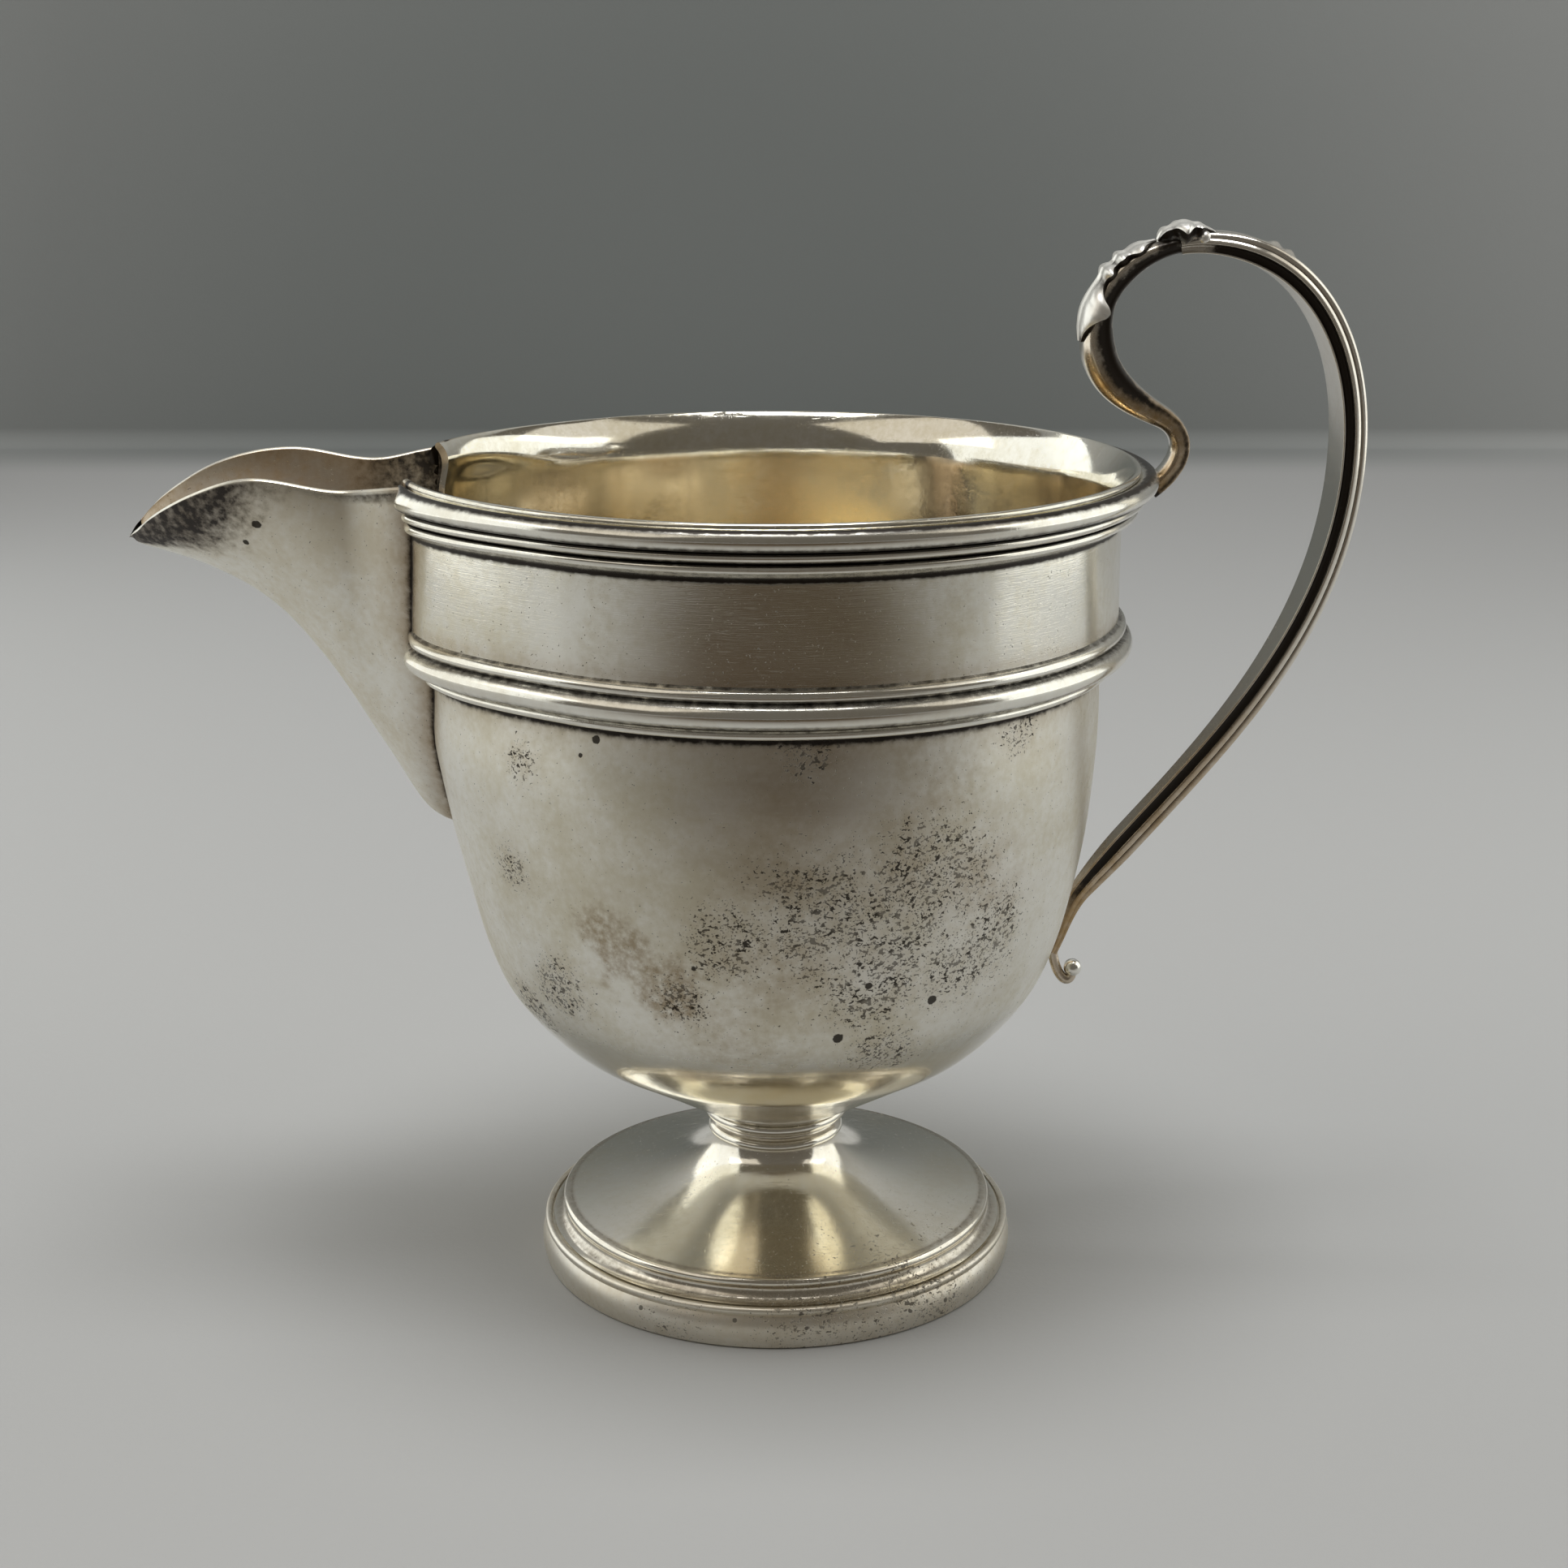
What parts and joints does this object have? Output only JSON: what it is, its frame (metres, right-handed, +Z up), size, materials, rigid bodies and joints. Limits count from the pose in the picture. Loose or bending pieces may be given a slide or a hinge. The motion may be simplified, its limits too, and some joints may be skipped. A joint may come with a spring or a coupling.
{
  "type": "cream jug",
  "caption": "Footed silver cream jug: deep bowl with reeded rim and girdle mouldings, folded-sheet pouring spout, leaf-capped scroll handle and a spun trumpet foot.",
  "frame": {"origin": "on the table under the middle of the overall length from spout tip to handle", "axes": "+Z up; +X from the spout towards the handle; +Y across the jug, so that the jug is symmetric about y = 0"},
  "size_m": [0.1174, 0.0724, 0.1036],
  "materials": {
    "silver_satin": "worn satin silver with fine pits and light tarnish; pale gilding inside the bowl",
    "silver_bright": "polished silver with dark tarnish in the grooves",
    "silver_aged": "polished silver with brown tarnish on the shaded sides"
  },
  "bodies": {
    "root": {"bowl": "silver_satin", "rim_moulding": "silver_bright", "girdle_moulding": "silver_bright", "pouring_spout": "silver_satin", "neck_collar": "silver_bright", "foot_dome": "silver_bright", "foot_band": "silver_bright", "handle_scroll": "silver_aged", "handle_leaf": "silver_bright", "handle_strap": "silver_aged", "crest_leaf": "silver_bright", "handle_tail": "silver_aged"}
  },
  "joints": []
}
